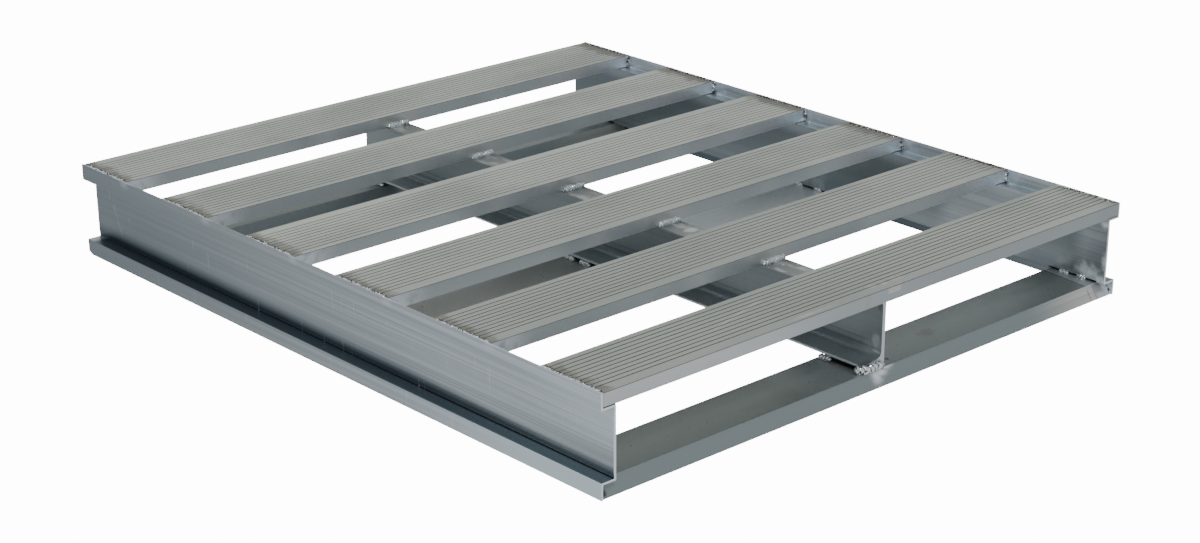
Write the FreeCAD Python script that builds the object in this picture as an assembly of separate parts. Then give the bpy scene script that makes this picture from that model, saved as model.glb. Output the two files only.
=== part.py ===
import FreeCAD, Part
import math
import os

# All-welded aluminium pallet, in millimetres.
# X runs along the deck boards, +Y from the front to the rear along the stringers, +Z up.
# The origin is on the floor, under the middle of the pallet.

# Overall size
pallet_width = 1066.8
pallet_length = 1219.2
pallet_height = 150.0

# Side stringer: one extrusion, a web with an outward ledge and lip at the top and at the foot
lip_height = 25.0
lip_wall = 3.0
ledge_wall = 3.0
ledge_reach = 25.5
web_wall = 4.0
web_neck_wall = 3.0
web_top_taper = 18.0
web_foot_taper = 9.0
stringer_root_radius = 1.5
stringer_edge_radius = 0.6
lost_corner_length = 11.0
lost_corner_height = 5.0

# Middle stringer: a rolled channel with tapered flanges, its web on the right
channel_flange = 43.7
channel_web = 6.3
channel_toe = 3.0
channel_taper = 1 / 7
channel_root_radius = 9.0
channel_toe_radius = 1.6
channel_clearance = 8.0
channel_front_setback = 18.0
channel_rear_setback = 10.0

# Deck board: an extrusion with ten grooves, nearer one of its long edges
deck_board_count = 6
deck_board_width = 120.0
deck_board_depth = 20.5
deck_board_drop = 0.5
deck_skin = 3.2
deck_leg = 3.0
deck_edge_radius = 1.0
groove_count = 10
groove_pitch = 9.8
groove_margin = 20.0
groove_width = 2.0
groove_depth = 0.9
groove_side_run = 0.4
boards_turned_from = 4

# The boards were tacked by eye: how far each one sits from the even spacing, front to rear
deck_board_shift = (0.0, -1.0, -1.5, -4.0, -2.0, 0.0)

# Bottom board: an extrusion with sloped long sides that a truck's wheels climb
bottom_board_base = 117.0
bottom_board_height = 21.0
bottom_board_slope_run = 14.5
bottom_board_wall = 3.0
bottom_board_edge_radius = 1.2
bottom_board_setback = 2.0
middle_board_shift = 9.0

# Clearance between a board's end and the lip it is welded to
board_end_gap = 0.5

# Weld beads
end_bead_width = 8.0
end_bead_height = 1.6
end_bead_inset = 0.6
end_bead_margin = 3.0
corner_bead_leg = 5.0
fillet_bead_leg = 8.0
fillet_bead_crown = 0.8
nose_bead_rise = 6.0
nose_bead_slope_share = 0.4
nose_bead_under = 4.0
toe_bead_length = 21.0
toe_bead_reach = 5.0
toe_bead_under = 4.0
toe_bead_crown = 1.5
tack_length = 15.0
tack_reach = 5.0
tack_height = 6.0
foot_bead_leg = 3.0
foot_bead_height = 7.0
foot_bead_lift = 2.0

# Where the short beads lie, as shares of each bottom board's flat top from its front side
toe_bead_places = {"front": (0.847,), "middle": (0.2875, 0.6966), "rear": (0.14,)}
web_tack_places = {"front": (0.295, 0.665), "middle": (0.266, 0.766), "rear": (0.335, 0.705)}

# Planes and places that follow from the sizes
half_width = pallet_width / 2
half_length = pallet_length / 2
lip_inner_x = half_width - lip_wall
web_inner_x = half_width - ledge_reach
deck_top_z = pallet_height - deck_board_drop
deck_seat_z = deck_top_z - deck_board_depth
top_ledge_z = pallet_height - lip_height + ledge_wall
channel_foot_z = bottom_board_height + channel_clearance
bottom_flat_width = bottom_board_base - 2 * bottom_board_slope_run
board_end_x = lip_inner_x - board_end_gap
deck_board_step = (pallet_length - deck_board_width) / (deck_board_count - 1)


def corner_arc(before, corner, after, radius):
    """Tangent arc that rounds a corner between two straight runs."""
    to_before = (before - corner).normalize()
    to_after = (after - corner).normalize()
    half_angle = to_before.getAngle(to_after) / 2
    start = corner + to_before * (radius / math.tan(half_angle))
    end = corner + to_after * (radius / math.tan(half_angle))
    bisector = (to_before + to_after).normalize()
    middle = corner + bisector * (radius / math.sin(half_angle) - radius)
    return start, middle, end


def rounded_face(corners):
    """Flat face through (point, radius) corners; a radius of zero leaves the corner sharp."""
    points = [point for point, radius in corners]
    count = len(corners)
    edges = []
    starts = []
    ends = []
    for index, (point, radius) in enumerate(corners):
        if radius > 0:
            before = points[index - 1]
            after = points[(index + 1) % count]
            start, middle, end = corner_arc(before, point, after, radius)
            edges.append(Part.Arc(start, middle, end).toShape())
            starts.append(start)
            ends.append(end)
        else:
            starts.append(point)
            ends.append(point)
    for index in range(count):
        edges.append(Part.LineSegment(ends[index - 1], starts[index]).toShape())
    return Part.Face(Part.Wire(Part.__sortEdges__(edges)))


def profile_along_y(corners, start_y, length):
    """Extrude an (x, z, radius) outline along Y."""
    face = rounded_face([(FreeCAD.Vector(x, start_y, z), radius) for x, z, radius in corners])
    return face.extrude(FreeCAD.Vector(0, length, 0))


def profile_along_x(corners, start_x, length):
    """Extrude a (y, z, radius) outline along X."""
    face = rounded_face([(FreeCAD.Vector(start_x, y, z), radius) for y, z, radius in corners])
    return face.extrude(FreeCAD.Vector(length, 0, 0))


def mirror_left(shape):
    """The same piece on the other side of the pallet."""
    return shape.mirror(FreeCAD.Vector(0, 0, 0), FreeCAD.Vector(1, 0, 0))


def y_from_front(distance):
    return distance - half_length


def side_stringer():
    """Right-hand side stringer: lips outside, web set in, both ledges in one outline."""
    neck_x = web_inner_x + web_neck_wall
    web_x = web_inner_x + web_wall
    foot_lip_top = lip_height
    top_lip_foot = pallet_height - lip_height
    root = stringer_root_radius
    edge = stringer_edge_radius
    outline = (
        (half_width, pallet_height, edge),
        (lip_inner_x, pallet_height, edge),
        (lip_inner_x, top_ledge_z, root),
        (web_inner_x, top_ledge_z, edge),
        (web_inner_x, foot_lip_top - ledge_wall, edge),
        (lip_inner_x, foot_lip_top - ledge_wall, root),
        (lip_inner_x, 0, edge),
        (half_width, 0, edge),
        (half_width, foot_lip_top, edge),
        (neck_x, foot_lip_top, root),
        (web_x, foot_lip_top + web_foot_taper, 0),
        (web_x, top_lip_foot - web_top_taper, 0),
        (neck_x, top_lip_foot, root),
        (half_width, top_lip_foot, edge),
    )
    return profile_along_y(outline, -half_length, pallet_length)


def lose_rear_foot_corner(stringer):
    """The left stringer's foot lip has its rear lower corner knocked off."""
    wedge = Part.Face(Part.makePolygon((
        FreeCAD.Vector(-half_width - lip_wall, half_length - lost_corner_length, 0),
        FreeCAD.Vector(-half_width - lip_wall, half_length, lost_corner_height),
        FreeCAD.Vector(-half_width - lip_wall, half_length + lip_wall, 0),
        FreeCAD.Vector(-half_width - lip_wall, half_length, -lost_corner_height),
        FreeCAD.Vector(-half_width - lip_wall, half_length - lost_corner_length, 0),
    ))).extrude(FreeCAD.Vector(3 * lip_wall, 0, 0))
    return stringer.cut(wedge)


def middle_stringer():
    """Rolled channel: the flanges thin towards their toes at the left."""
    web_x = channel_flange / 2
    toe_x = web_x - channel_flange
    web_inside_x = web_x - channel_web
    root_thickness = channel_toe + (channel_flange - channel_web) * channel_taper
    outline = (
        (web_x, deck_seat_z, 0),
        (toe_x, deck_seat_z, 0),
        (toe_x, deck_seat_z - channel_toe, channel_toe_radius),
        (web_inside_x, deck_seat_z - root_thickness, channel_root_radius),
        (web_inside_x, channel_foot_z + root_thickness, channel_root_radius),
        (toe_x, channel_foot_z + channel_toe, channel_toe_radius),
        (toe_x, channel_foot_z, 0),
        (web_x, channel_foot_z, 0),
    )
    start_y = y_from_front(channel_front_setback)
    length = pallet_length - channel_front_setback - channel_rear_setback
    return profile_along_y(outline, start_y, length)


def groove_corners(centre_y, direction):
    """One groove in the deck top, met from the side that direction comes from."""
    half_top = groove_width / 2
    half_floor = half_top - groove_side_run
    floor_z = deck_top_z - groove_depth
    return (
        (centre_y - direction * half_top, deck_top_z, 0),
        (centre_y - direction * half_floor, floor_z, 0),
        (centre_y + direction * half_floor, floor_z, 0),
        (centre_y + direction * half_top, deck_top_z, 0),
    )


def deck_board(front_y, turned):
    """Grooved top on two outer legs and one middle leg, open underneath."""
    rear_y = front_y + deck_board_width
    middle_y = front_y + deck_board_width / 2
    skin_z = deck_top_z - deck_skin
    direction = -1 if turned else 1
    wide_edge_y = rear_y if turned else front_y
    grooves = []
    for index in range(groove_count):
        centre_y = wide_edge_y + direction * (groove_margin + index * groove_pitch)
        grooves.append(groove_corners(centre_y, 1))
    if turned:
        grooves.reverse()
    outline = [(front_y, deck_top_z, deck_edge_radius)]
    for groove in grooves:
        outline.extend(groove)
    outline.extend((
        (rear_y, deck_top_z, deck_edge_radius),
        (rear_y, deck_seat_z, 0),
        (rear_y - deck_leg, deck_seat_z, 0),
        (rear_y - deck_leg, skin_z, deck_edge_radius),
        (middle_y + deck_leg / 2, skin_z, deck_edge_radius),
        (middle_y + deck_leg / 2, deck_seat_z, 0),
        (middle_y - deck_leg / 2, deck_seat_z, 0),
        (middle_y - deck_leg / 2, skin_z, deck_edge_radius),
        (front_y + deck_leg, skin_z, deck_edge_radius),
        (front_y + deck_leg, deck_seat_z, 0),
        (front_y, deck_seat_z, 0),
    ))
    return profile_along_x(outline, -board_end_x, 2 * board_end_x)


def bottom_board(front_y):
    """Flat top between two sloped sides, open underneath, with one middle leg."""
    rear_y = front_y + bottom_board_base
    middle_y = front_y + bottom_board_base / 2
    slope_length = math.hypot(bottom_board_slope_run, bottom_board_height)
    wall_run = bottom_board_wall * slope_length / bottom_board_height
    skin_z = bottom_board_height - bottom_board_wall
    skin_inset = wall_run + bottom_board_slope_run * skin_z / bottom_board_height
    half_leg = bottom_board_wall / 2
    edge = bottom_board_edge_radius
    outline = (
        (front_y, 0, 0),
        (front_y + bottom_board_slope_run, bottom_board_height, edge),
        (rear_y - bottom_board_slope_run, bottom_board_height, edge),
        (rear_y, 0, 0),
        (rear_y - wall_run, 0, 0),
        (rear_y - skin_inset, skin_z, edge),
        (middle_y + half_leg, skin_z, edge),
        (middle_y + half_leg, 0, 0),
        (middle_y - half_leg, 0, 0),
        (middle_y - half_leg, skin_z, edge),
        (front_y + skin_inset, skin_z, edge),
        (front_y + wall_run, 0, 0),
    )
    return profile_along_x(outline, -board_end_x, 2 * board_end_x)


def crowned_bead(corner, along_one, along_two, run, crown):
    """Fillet bead in a square corner: two legs on the faces, a crowned face between them."""
    first = corner + along_one
    second = corner + along_two
    outward = (along_one + along_two).normalize()
    middle = (first + second) * 0.5 + outward * crown
    face = Part.Face(Part.Wire((
        Part.LineSegment(corner, first).toShape(),
        Part.Arc(first, middle, second).toShape(),
        Part.LineSegment(second, corner).toShape(),
    )))
    return face.extrude(run)


def deck_end_bead(front_y):
    """Low bead over the joint between a deck board's right end and the lip's top."""
    outer_x = half_width - end_bead_inset
    inner_x = outer_x - end_bead_width
    start_y = front_y + end_bead_margin
    length = deck_board_width - 2 * end_bead_margin
    crest = FreeCAD.Vector((outer_x + inner_x) / 2, start_y, pallet_height + end_bead_height)
    outer = FreeCAD.Vector(outer_x, start_y, pallet_height)
    step_top = FreeCAD.Vector(lip_inner_x, start_y, pallet_height)
    step_foot = FreeCAD.Vector(lip_inner_x, start_y, deck_top_z)
    inner = FreeCAD.Vector(inner_x, start_y, deck_top_z)
    face = Part.Face(Part.Wire((
        Part.Arc(outer, crest, inner).toShape(),
        Part.LineSegment(inner, step_foot).toShape(),
        Part.LineSegment(step_foot, step_top).toShape(),
        Part.LineSegment(step_top, outer).toShape(),
    )))
    bead = face.extrude(FreeCAD.Vector(0, length, 0))
    radius = end_bead_width / 2
    floor = FreeCAD.Vector(crest.x, start_y, deck_top_z)
    near_end = Part.makeCylinder(radius, 2 * lip_wall, floor + FreeCAD.Vector(0, radius, 0))
    far_end = Part.makeCylinder(radius, 2 * lip_wall, floor + FreeCAD.Vector(0, length - radius, 0))
    middle = Part.makeBox(2 * radius, length - 2 * radius, 2 * lip_wall,
                          floor + FreeCAD.Vector(-radius, radius, 0))
    return bead.common(near_end.fuse(middle).fuse(far_end).removeSplitter())


def corner_bead(front_y):
    """Upright bead in the corner of a deck board's front face and the right lip."""
    foot_z = top_ledge_z + stringer_root_radius
    return crowned_bead(
        FreeCAD.Vector(lip_inner_x, front_y, foot_z),
        FreeCAD.Vector(-corner_bead_leg, 0, 0),
        FreeCAD.Vector(0, -corner_bead_leg, 0),
        FreeCAD.Vector(0, 0, deck_top_z - deck_edge_radius - foot_z),
        fillet_bead_crown / 2,
    )


def flange_bead(face_y, facing):
    """Bead across the middle stringer's flange, against a deck board's long face."""
    corner = FreeCAD.Vector(-channel_flange / 2, face_y, deck_seat_z)
    return crowned_bead(
        corner,
        FreeCAD.Vector(0, facing * fillet_bead_leg, 0),
        FreeCAD.Vector(0, 0, fillet_bead_leg),
        FreeCAD.Vector(channel_flange, 0, 0),
        fillet_bead_crown,
    )


def nose_bead(board_front_y):
    """Heavy bead that joins the middle stringer's front end to the front bottom board."""
    end_y = y_from_front(channel_front_setback)
    edge_y = board_front_y + bottom_board_slope_run
    foot_y = edge_y - nose_bead_slope_share * bottom_board_slope_run
    foot_z = bottom_board_height * (1 - nose_bead_slope_share)
    crown_z = channel_foot_z + nose_bead_rise
    start_x = -channel_flange / 2

    def at(y, z):
        return FreeCAD.Vector(start_x, y, z)

    crown = at((foot_y + end_y) / 2 - fillet_bead_crown * 3, (foot_z + crown_z) / 2 + fillet_bead_crown)
    corners = (
        at(foot_y, foot_z),
        at(edge_y, bottom_board_height),
        at(end_y + nose_bead_under, bottom_board_height),
        at(end_y + nose_bead_under, channel_foot_z),
        at(end_y, channel_foot_z),
        at(end_y, crown_z),
    )
    edges = [Part.LineSegment(a, b).toShape() for a, b in zip(corners, corners[1:])]
    edges.append(Part.Arc(corners[-1], crown, corners[0]).toShape())
    return Part.Face(Part.Wire(edges)).extrude(FreeCAD.Vector(channel_flange, 0, 0))


def toe_bead(middle_y):
    """Bead under and beside the middle stringer's lower toe, down to a bottom board's top."""
    toe_x = -channel_flange / 2
    side_top_z = channel_foot_z + channel_toe - channel_toe_radius
    start_y = middle_y - toe_bead_length / 2

    def at(x, z):
        return FreeCAD.Vector(x, start_y, z)

    outer_foot = at(toe_x - toe_bead_reach, bottom_board_height)
    outer_top = at(toe_x, side_top_z)
    toe_corner = at(toe_x, channel_foot_z)
    inner_top = at(toe_x + toe_bead_under, channel_foot_z)
    inner_foot = at(toe_x + toe_bead_under, bottom_board_height)
    crown = (outer_foot + outer_top) * 0.5 + FreeCAD.Vector(-toe_bead_crown, 0, toe_bead_crown)
    face = Part.Face(Part.Wire((
        Part.Arc(outer_foot, crown, outer_top).toShape(),
        Part.LineSegment(outer_top, toe_corner).toShape(),
        Part.LineSegment(toe_corner, inner_top).toShape(),
        Part.LineSegment(inner_top, inner_foot).toShape(),
        Part.LineSegment(inner_foot, outer_foot).toShape(),
    )))
    return face.extrude(FreeCAD.Vector(0, toe_bead_length, 0))


def web_tack(middle_y):
    """Short bead where a bottom board's top passes under the right stringer's web."""
    return crowned_bead(
        FreeCAD.Vector(web_inner_x, middle_y - tack_length / 2, bottom_board_height),
        FreeCAD.Vector(-tack_reach, 0, 0),
        FreeCAD.Vector(0, 0, tack_height),
        FreeCAD.Vector(0, tack_length, 0),
        fillet_bead_crown,
    )


def foot_bead(board_edge_y, facing):
    """Bead that climbs the corner of a bottom board's sloped side and the right foot lip."""
    lean = -facing * bottom_board_slope_run / bottom_board_height
    start = FreeCAD.Vector(lip_inner_x, board_edge_y + lean * foot_bead_lift, foot_bead_lift)
    return crowned_bead(
        start,
        FreeCAD.Vector(-foot_bead_leg, 0, 0),
        FreeCAD.Vector(0, facing * foot_bead_leg, 0),
        FreeCAD.Vector(0, lean * foot_bead_height, foot_bead_height),
        fillet_bead_crown / 2,
    )


# Members
right_stringer = side_stringer()
nodes = {
    "left_stringer": lose_rear_foot_corner(mirror_left(right_stringer)),
    "right_stringer": right_stringer,
    "middle_stringer": middle_stringer(),
}

deck_fronts = []
for index in range(deck_board_count):
    deck_fronts.append(y_from_front(index * deck_board_step + deck_board_shift[index]))
for number, front_y in enumerate(deck_fronts, start=1):
    nodes["deck_board_%d" % number] = deck_board(front_y, number >= boards_turned_from)

bottom_fronts = {
    "front": y_from_front(bottom_board_setback),
    "middle": middle_board_shift - bottom_board_base / 2,
    "rear": half_length - bottom_board_setback - bottom_board_base,
}
for place, front_y in bottom_fronts.items():
    nodes["bottom_board_" + place] = bottom_board(front_y)

# Weld metal
for number, front_y in enumerate(deck_fronts, start=1):
    bead = deck_end_bead(front_y)
    nodes["end_weld_right_%d" % number] = bead
    nodes["end_weld_left_%d" % number] = mirror_left(bead)

corner_beads = Part.makeCompound([corner_bead(front_y) for front_y in deck_fronts[1:]])
nodes["corner_welds_right"] = corner_beads
nodes["corner_welds_left"] = mirror_left(corner_beads)

flange_beads = [flange_bead(front_y, -1) for front_y in deck_fronts[1:]]
flange_beads.append(flange_bead(deck_fronts[0] + deck_board_width, 1))
nodes["flange_welds"] = Part.makeCompound(flange_beads)

nodes["nose_weld"] = nose_bead(bottom_fronts["front"])
toe_beads = []
tacks = []
for place, front_y in bottom_fronts.items():
    flat_y = front_y + bottom_board_slope_run
    for share in toe_bead_places[place]:
        toe_beads.append(toe_bead(flat_y + share * bottom_flat_width))
    for share in web_tack_places[place]:
        tacks.append(web_tack(flat_y + share * bottom_flat_width))
nodes["toe_welds"] = Part.makeCompound(toe_beads)
nodes["web_tacks_right"] = Part.makeCompound(tacks)
nodes["web_tacks_left"] = mirror_left(nodes["web_tacks_right"])

foot_beads = Part.makeCompound((
    foot_bead(bottom_fronts["front"], -1),
    foot_bead(bottom_fronts["rear"] + bottom_board_base, 1),
))
nodes["foot_welds_right"] = foot_beads
nodes["foot_welds_left"] = mirror_left(foot_beads)

os.makedirs("parts", exist_ok=True)
for name, shape in nodes.items():
    shape.exportStep("parts/%s.step" % name)
    print(name, len(shape.Solids), "solids, volume", round(shape.Volume), "mm3, valid", shape.isValid())
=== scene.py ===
import random
import bpy
from mathutils import Matrix, Vector


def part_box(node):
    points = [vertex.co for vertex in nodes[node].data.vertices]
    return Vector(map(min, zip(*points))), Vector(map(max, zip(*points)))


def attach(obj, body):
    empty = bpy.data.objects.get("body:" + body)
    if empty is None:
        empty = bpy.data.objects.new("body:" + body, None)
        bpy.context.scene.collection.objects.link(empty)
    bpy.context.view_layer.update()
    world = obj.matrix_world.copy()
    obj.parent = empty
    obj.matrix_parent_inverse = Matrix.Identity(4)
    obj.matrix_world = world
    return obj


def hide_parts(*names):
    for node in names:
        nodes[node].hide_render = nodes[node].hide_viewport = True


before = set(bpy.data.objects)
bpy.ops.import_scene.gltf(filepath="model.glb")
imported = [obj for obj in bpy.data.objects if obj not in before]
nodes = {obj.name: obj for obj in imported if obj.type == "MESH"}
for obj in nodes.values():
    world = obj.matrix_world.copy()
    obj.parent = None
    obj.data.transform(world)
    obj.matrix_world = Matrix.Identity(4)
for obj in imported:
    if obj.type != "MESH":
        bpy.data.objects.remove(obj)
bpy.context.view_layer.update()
scene = bpy.context.scene

# Camera: it stands as the photograph's did, high off the near left corner.
# Its place and turn come from fitting the pallet's long straight edges all together.
camera_data = bpy.data.cameras.new("camera")
camera_data.sensor_fit = "HORIZONTAL"
camera_data.sensor_width = 36.0
camera_data.lens = 73.50
camera_data.shift_x = -0.04721
camera_data.shift_y = 0.06130
camera_data.clip_end = 60.0
camera = bpy.data.objects.new("camera", camera_data)
scene.collection.objects.link(camera)
camera_forward = Vector((0.63621, 0.66878, -0.38467))
camera_right = Vector((0.72632, -0.68732, 0.00632))
camera_up = camera_right.cross(camera_forward)
camera_place = Vector((-2.40775, -2.67965, 1.37922))
camera_turn = Matrix((camera_right, camera_up, -camera_forward)).transposed()
camera.matrix_world = Matrix.Translation(camera_place) @ camera_turn.to_4x4()
scene.camera = camera

# Side stringers: two aluminium extrusions with lips and ledges, straight from the press and never painted.
# The die leaves fine lines along them and the saw leaves their ends bright. Weld heat bleaches the metal
# near the welds. Painted shade darkens their feet, inner webs, ledge roots and the left one's far end, and
# painted light brightens their near ends.
stringer_cut_end_y = 0.60945
# Real die lines are finer, and these are drawn coarse enough to show.
stringer_die_line_mm = 2.2
stringer_colour = "#bec9cf"
stringer_line_colour = "#adb5ba"
stringer_foot_shade_colour = "#2e434d"
stringer_film_and_shade_colour = "#747f85"
stringer_inner_colour = "#7a8488"
stringer_cut_colour = "#eff5fa"
stringer_scratch_colour = "#e8ebec"
# Pale weld-heat bleach, also used as painted light on the far ledge tops and the foot lips' ends.
weld_halo_and_light_colour = "#dde5ec"
stringer_near_end_colour = "#cfdde6"
stringer_root_shade_colour = "#0d151a"
flare_light_colour = "#f4faff"
# Near-black painted shade for gaps and undersides.
gap_shade_colour = "#0c0d0d"
corner_weld_places = [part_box("deck_board_%d" % number)[0].y - 0.002 for number in range(2, 7)]
bottom_board_middles = [-0.5491, 0.0090, 0.5491]
web_tack_places = [-0.5850, -0.5346, -0.0116, 0.0324, 0.5346, 0.5850]
# Centres and reaches, in mm, of the painted light flares on the webs' near ends.
end_flare_spots = [((508, -571, 36), (20, 24, 20)), ((508, -584, 34), (20, 24, 22)),
                   ((508, -600, 27), (20, 24, 17)), ((508, -608, 58), (20, 8, 24)),
                   ((508, -604, 118), (20, 13, 10))]


def linear(hex_colour):
    """An sRGB hex colour as the linear RGBA that shaders take."""
    channels = [int(hex_colour[i:i + 2], 16) / 255 for i in (1, 3, 5)]
    return [c / 12.92 if c <= 0.04045 else ((c + 0.055) / 1.055) ** 2.4 for c in channels] + [1.0]


def add(tree, kind, links=None, **settings):
    """Add a node; settings set its properties, links fill its inputs by name or number."""
    made = tree.nodes.new(kind)
    for name, value in settings.items():
        setattr(made, name, value)
    for key, value in (links or {}).items():
        socket = made.inputs[key]
        if isinstance(value, bpy.types.NodeSocket):
            tree.links.new(value, socket)
        else:
            socket.default_value = value
    return made


def start_material(name):
    """A new metal material, its shader and its object coordinates."""
    material = bpy.data.materials.new(name)
    material.use_nodes = True
    tree = material.node_tree
    tree.nodes.clear()
    shader = add(tree, "ShaderNodeBsdfPrincipled")
    shader.inputs["Metallic"].default_value = 1.0
    add(tree, "ShaderNodeOutputMaterial", {"Surface": shader.outputs[0]})
    place = add(tree, "ShaderNodeTexCoord").outputs["Object"]
    return material, tree, shader, place


def noise(tree, place, per_metre, detail=3.0, seed=0.0):
    """Noise with its own count of features per metre along each axis."""
    moved = add(tree, "ShaderNodeMapping", {0: place, "Location": (seed, seed * 1.7, seed * 0.6),
                                            "Scale": per_metre})
    return add(tree, "ShaderNodeTexNoise", {"Vector": moved.outputs[0], "Scale": 1.0,
                                            "Detail": detail}).outputs[0]


def band(tree, value, start, end):
    """Zero below start, one above end, smooth between; start may be above end."""
    return add(tree, "ShaderNodeMapRange", {0: value, 1: start, 2: end, 3: 0.0, 4: 1.0},
               interpolation_type="SMOOTHSTEP").outputs[0]


def maths(tree, operation, first, second=0.0):
    """The result of one sum on one or two values."""
    return add(tree, "ShaderNodeMath", {0: first, 1: second}, operation=operation).outputs[0]


def multiply(tree, *values):
    """The product of all the values."""
    product = values[0]
    for value in values[1:]:
        product = maths(tree, "MULTIPLY", product, value)
    return product


def without(tree, value):
    """One less the value."""
    return maths(tree, "SUBTRACT", 1.0, value)


def near(tree, value, centre, reach, edge):
    """One within reach of the centre, fading to zero over the edge."""
    away = maths(tree, "ABSOLUTE", maths(tree, "SUBTRACT", value, centre))
    return band(tree, away, reach + edge, reach)


def nearest(tree, value, centres):
    """The distance from a value to the nearest of the centres."""
    distances = [maths(tree, "ABSOLUTE", maths(tree, "SUBTRACT", value, centre)) for centre in centres]
    closest = distances[0]
    for distance in distances[1:]:
        closest = maths(tree, "MINIMUM", closest, distance)
    return closest


def blot(tree, place, centre_mm, reach_mm, cloud, ragged=0.8, core=0.35):
    """One in an ellipsoid's core, fading to zero at its reach, with an edge that the cloud makes ragged."""
    centre = [value / 1000 for value in centre_mm]
    reach = [value / 1000 for value in reach_mm]
    away = add(tree, "ShaderNodeVectorMath", {0: place, 1: centre}, operation="SUBTRACT").outputs[0]
    away = add(tree, "ShaderNodeVectorMath", {0: away, 1: reach}, operation="DIVIDE").outputs[0]
    distance = add(tree, "ShaderNodeVectorMath", {0: away}, operation="LENGTH").outputs[1]
    uneven = maths(tree, "MULTIPLY", maths(tree, "SUBTRACT", cloud, 0.5), ragged)
    return band(tree, maths(tree, "ADD", distance, uneven), 1.0, core)


def blots(tree, place, spots, cloud, ragged=0.8, core=0.35):
    """Several blots as one, each given as its centre and its reach in mm."""
    share = blot(tree, place, spots[0][0], spots[0][1], cloud, ragged, core)
    for centre_mm, reach_mm in spots[1:]:
        one = blot(tree, place, centre_mm, reach_mm, cloud, ragged, core)
        share = maths(tree, "MAXIMUM", share, one)
    return share


def blend_colour(tree, share, first, second):
    """Mix two colours; each is a hex value or a socket."""
    first = linear(first) if isinstance(first, str) else first
    second = linear(second) if isinstance(second, str) else second
    return add(tree, "ShaderNodeMix", {0: share, 6: first, 7: second}, data_type="RGBA").outputs[2]


def layered(tree, colour, layers):
    """Lay colours over a first one; each layer is its share and its colour."""
    for share, over in layers:
        colour = blend_colour(tree, share, colour, over)
    return colour


def axes_of(tree, place):
    """The x, y and z of a place."""
    return add(tree, "ShaderNodeSeparateXYZ", {0: place}).outputs


def facing_of(tree):
    """The x, y and z of the way that the surface faces."""
    normal = add(tree, "ShaderNodeNewGeometry").outputs["Normal"]
    return add(tree, "ShaderNodeSeparateXYZ", {0: normal}).outputs


def bump(tree, shader, height, depth_mm, strength):
    """Raise and sink the shaded surface by a height."""
    made = add(tree, "ShaderNodeBump", {"Strength": strength, "Distance": depth_mm / 1000, "Height": height})
    tree.links.new(made.outputs[0], shader.inputs["Normal"])


def fill_slots(node_name, material):
    """Give every material slot of a CAD node the finished material."""
    slots = nodes[node_name].data.materials
    if not slots:
        slots.append(material)
    for index in range(len(slots)):
        slots[index] = material


stringer_finish, tree, shader, place = start_material("mill_finish_extrusion_stringer")
x, y, z = axes_of(tree, place)
side_x = maths(tree, "ABSOLUTE", x)
end_y = maths(tree, "ABSOLUTE", y)
facing = facing_of(tree)
lines_per_metre = 1000 / stringer_die_line_mm
die_lines = noise(tree, place, (lines_per_metre, 1.5, lines_per_metre), 4.0)
broad_lines = noise(tree, place, (110.0, 0.7, 110.0), 2.0, 5.0)
broad_tone = noise(tree, place, (30.0, 2.5, 40.0), 3.0, 3.0)
cloud = noise(tree, place, (45.0, 45.0, 45.0), 3.0, 6.0)
flare_cloud = noise(tree, place, (0.0, 120.0, 120.0), 5.0, 17.0)
scratch_lines = noise(tree, place, (0.0, 330.0, 12.0), 2.0, 9.0)

outward = maths(tree, "MULTIPLY", facing[0], maths(tree, "SIGN", x))
inward = band(tree, outward, -0.1, -0.5)
on_web = multiply(tree, inward, band(tree, side_x, 0.5100, 0.5090))
foot_lip_outside = multiply(tree, band(tree, outward, 0.1, 0.5), band(tree, z, 0.0251, 0.0249))
by_near_end = band(tree, y, -0.15, -0.55)
on_ledge = band(tree, facing[2], 0.6, 0.9)
# Painted shade: the stringers' feet and ledge tops are darkened, a little less towards the near end.
foot_shade_top = maths(tree, "SUBTRACT", 0.055, maths(tree, "MULTIPLY", by_near_end, 0.012))
open_share = multiply(tree, maths(tree, "SUBTRACT", 0.82, maths(tree, "MULTIPLY", by_near_end, 0.24)),
                      without(tree, on_ledge))
foot_shade_share = maths(tree, "MAXIMUM", open_share, maths(tree, "MULTIPLY", on_ledge, 0.64))
stringer_foot_shade = multiply(tree, band(tree, z, foot_shade_top, 0.028), without(tree, foot_lip_outside),
                     without(tree, maths(tree, "MULTIPLY", on_web, 0.8)),
                     foot_shade_share)
# Painted shade: the left stringer darker towards its far end.
far_left_shade = multiply(tree, band(tree, y, -0.50, 0.70), band(tree, x, -0.40, -0.50), 0.92)
low_web_shade = multiply(tree, on_web, band(tree, z, 0.055, 0.035),
                         near(tree, y, -0.490, 0.040, 0.030), 0.3)
web_shade = maths(tree, "ADD", 0.55, maths(tree, "MULTIPLY", band(tree, z, 0.030, 0.080), 0.45))
web_shade = multiply(tree, on_web, web_shade,
                     without(tree, maths(tree, "MULTIPLY", band(tree, y, -0.540, -0.575), 0.65)),
                     without(tree, maths(tree, "MULTIPLY", near(tree, y, -0.370, 0.060, 0.050), 0.75)))
far_web_shade = multiply(tree, on_web, band(tree, y, -0.30, 0.30), 0.30)
near_lip_light = multiply(tree, foot_lip_outside, by_near_end)
near_web_light = multiply(tree, band(tree, outward, 0.1, 0.5), band(tree, y, -0.42, -0.60),
                          band(tree, z, 0.060, 0.090), 0.45)
# Painted shade: a near-black line in the fillet at each ledge's root.
ledge_root_shade = multiply(tree, band(tree, facing[2], 0.03, 0.20), band(tree, facing[2], 0.995, 0.95),
                      band(tree, z, 0.031, 0.029), band(tree, z, 0.0235, 0.0250),
                      band(tree, side_x, 0.5155, 0.5140))
far_ledge_light = multiply(tree, on_ledge, band(tree, y, 0.585, 0.602),
                           band(tree, z, 0.030, 0.026), 0.6)

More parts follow.
